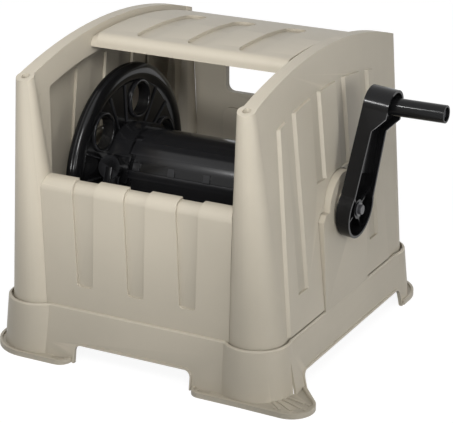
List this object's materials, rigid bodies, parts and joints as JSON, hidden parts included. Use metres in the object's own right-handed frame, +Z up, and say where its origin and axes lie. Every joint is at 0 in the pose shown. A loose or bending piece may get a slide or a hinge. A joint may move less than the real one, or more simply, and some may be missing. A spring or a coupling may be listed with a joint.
{
  "type": "hose reel box",
  "caption": "Free-standing hose reel box: arched moulded housing on flared feet with an open front, a drum reel on bearing pylons and a side crank with a turning grip.",
  "frame": {"origin": "on the ground under the middle of the housing, where its two middle planes meet", "axes": "+Z up, +X along the axle towards the crank, +Y towards the rear window"},
  "size_m": [0.6381, 0.558, 0.4739],
  "materials": {
    "housing_plastic": "fine moulded grain, taupe",
    "reel_plastic": "satin black",
    "crank_plastic": "satin black",
    "fitting_plastic": "satin black",
    "bearing_plastic": "dark grey",
    "seal_rubber": "smooth",
    "steel": "zinc plated"
  },
  "bodies": {
    "housing": {"base_frame": "housing_plastic", "left_side_panel": "housing_plastic", "right_side_panel": "housing_plastic", "front_panel": "housing_plastic", "rear_panel": "housing_plastic", "top_cover": "housing_plastic", "left_bushing": "bearing_plastic", "right_bushing": "bearing_plastic", "inlet_fitting": "fitting_plastic", "inlet_seal_outer": "seal_rubber", "inlet_seal_inner": "seal_rubber", "inlet_screw_front": "steel", "inlet_screw_rear": "steel"},
    "reel": {"reel_left_flange": "reel_plastic", "reel_right_flange": "reel_plastic", "drum_collar_left": "reel_plastic", "drum_collar_right": "reel_plastic", "drum_upper_half": "reel_plastic", "drum_lower_half": "reel_plastic", "water_tube": "reel_plastic", "hose_outlet": "reel_plastic", "drive_shaft": "reel_plastic", "crank_arm": "crank_plastic", "crank_washer": "steel", "crank_screw": "steel", "grip_spindle": "steel", "spindle_nut": "steel"},
    "grip": {"crank_grip": "crank_plastic"}
  },
  "joints": [
    {"name": "reel_spin", "type": "hinge", "parent": "housing", "child": "reel", "pos_m": [0, 0, 0.226], "axis": [1, 0, 0], "continuous": true},
    {"name": "grip_spin", "type": "hinge", "parent": "reel", "child": "grip", "pos_m": [0.33, 0.0418, 0.382], "axis": [1, 0, 0], "continuous": true}
  ]
}
